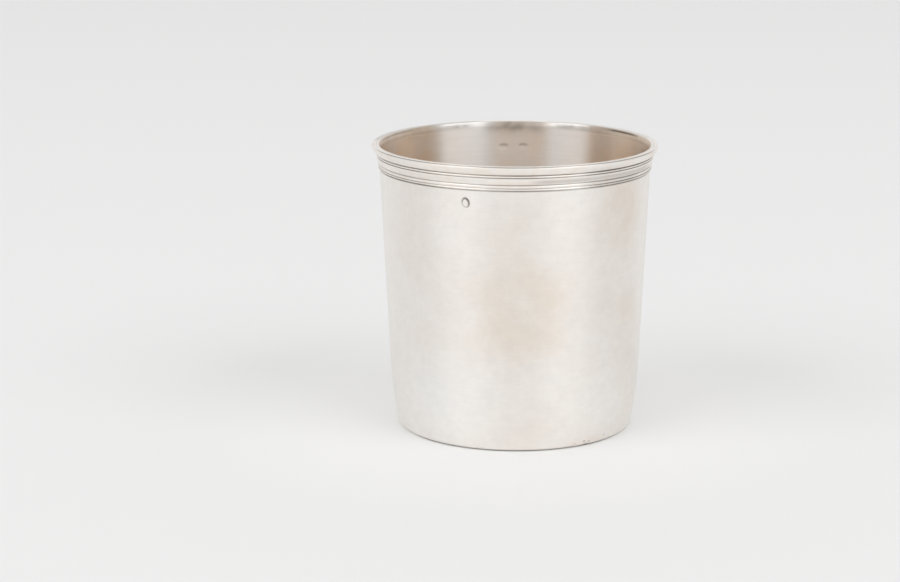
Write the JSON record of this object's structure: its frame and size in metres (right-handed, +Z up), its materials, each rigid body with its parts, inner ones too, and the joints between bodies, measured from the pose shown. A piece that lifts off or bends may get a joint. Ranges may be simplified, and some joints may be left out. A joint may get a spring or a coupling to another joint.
{
  "type": "silver beaker",
  "caption": "Round tapered metal drinking beaker with a soft bottom edge, and a flared lip over a reeded moulding; stands free and is open at the top.",
  "frame": {"origin": "centre of the base, on the surface that the beaker stands on", "axes": "+Z up along the axis of the cup, out of its mouth; -Y is the side that carries the small oval punch impression"},
  "size_m": [0.076, 0.076, 0.076],
  "materials": {
    "silver": "satin"
  },
  "bodies": {
    "root": {"raised_body": "silver", "lip_wire": "silver", "upper_fillet": "silver", "flat_band": "silver", "double_reed": "silver"}
  },
  "joints": []
}
